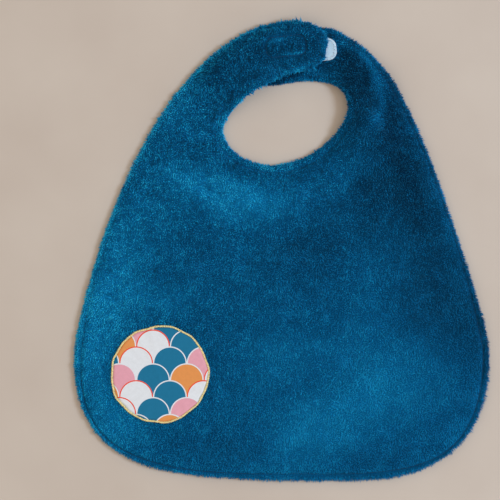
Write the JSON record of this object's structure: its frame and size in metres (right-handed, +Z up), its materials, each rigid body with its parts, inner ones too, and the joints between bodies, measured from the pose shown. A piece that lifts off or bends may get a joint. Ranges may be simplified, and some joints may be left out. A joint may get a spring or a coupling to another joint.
{
  "type": "plush baby bib",
  "caption": "Plush cloth baby bib lying flat, its neck straps lapped and closed by hook and loop tape, with a round appliqué badge in one lower corner.",
  "frame": {"origin": "middle of the bib's plan box, on the surface that it lies on", "axes": "+X across the bib to the right as seen from above, +Y from the hem to the neck, +Z up from the surface"},
  "size_m": [0.33, 0.37, 0.0138],
  "materials": {
    "plush": "short dense pile, teal blue, crushed here and there",
    "plush_thread": "teal sewing thread",
    "tape": "white woven hook or loop tape",
    "tape_thread": "white sewing thread",
    "badge_cloth": "fine plain-weave cotton, printed",
    "border_thread": "pale yellow satin stitching"
  },
  "bodies": {
    "bib_body": {"front_panel": "plush", "back_panel": "plush", "edge_topstitch": "plush_thread", "edge_bobbin_thread": "plush_thread", "loop_tape": "tape", "loop_tape_stitching": "tape_thread", "loop_tape_bobbin_thread": "plush_thread", "badge_cloth": "badge_cloth", "badge_border_stitching": "border_thread", "badge_bobbin_thread": "plush_thread"},
    "strap_root": {"strap_root_front": "plush", "strap_root_back": "plush", "strap_root_topstitch": "plush_thread", "strap_root_bobbin_thread": "plush_thread"},
    "strap_end": {"strap_end_front": "plush", "strap_end_back": "plush", "strap_end_topstitch": "plush_thread", "strap_end_bobbin_thread": "plush_thread", "hook_tape": "tape", "hook_tape_stitching": "plush_thread", "hook_tape_bobbin_thread": "tape_thread"}
  },
  "joints": [
    {"name": "strap_lift", "type": "hinge", "parent": "bib_body", "child": "strap_root", "pos_m": [-0.05929, 0.12074, 0.0078], "axis": [0.7905, -0.6124, 0], "range_deg": [0, 75]},
    {"name": "strap_curl", "type": "hinge", "parent": "strap_root", "child": "strap_end", "pos_m": [-0.02846, 0.14891, 0.01385], "axis": [0.635, -0.7725, 0], "range_deg": [0, 75]}
  ]
}
